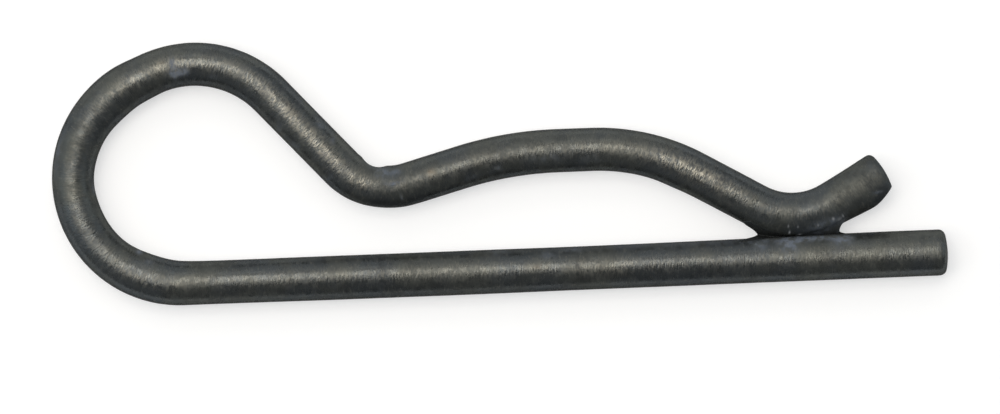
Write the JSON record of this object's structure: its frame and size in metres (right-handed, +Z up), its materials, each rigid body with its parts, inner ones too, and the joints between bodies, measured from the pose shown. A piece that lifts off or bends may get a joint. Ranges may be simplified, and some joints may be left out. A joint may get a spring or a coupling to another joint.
{
  "type": "spring locking pin",
  "caption": "Bent-wire spring locking pin with a straight leg, a round pull eye, a tight neck, a long bow that snaps over a shaft and a turned-up lip.",
  "frame": {"origin": "on the straight leg's axis under the middle of the bow, where the locked shaft's axis crosses it", "axes": "+X along the leg to its free end, +Y from the leg to the bow, +Z up, square to the plane that the wire is bent in"},
  "size_m": [0.1292, 0.0381, 0.0064],
  "materials": {
    "wire": "dark oiled spring steel, satin, with fine crosswise drawing marks and pale scuffs"
  },
  "bodies": {
    "root": {"spring_pin": "wire"}
  },
  "joints": []
}
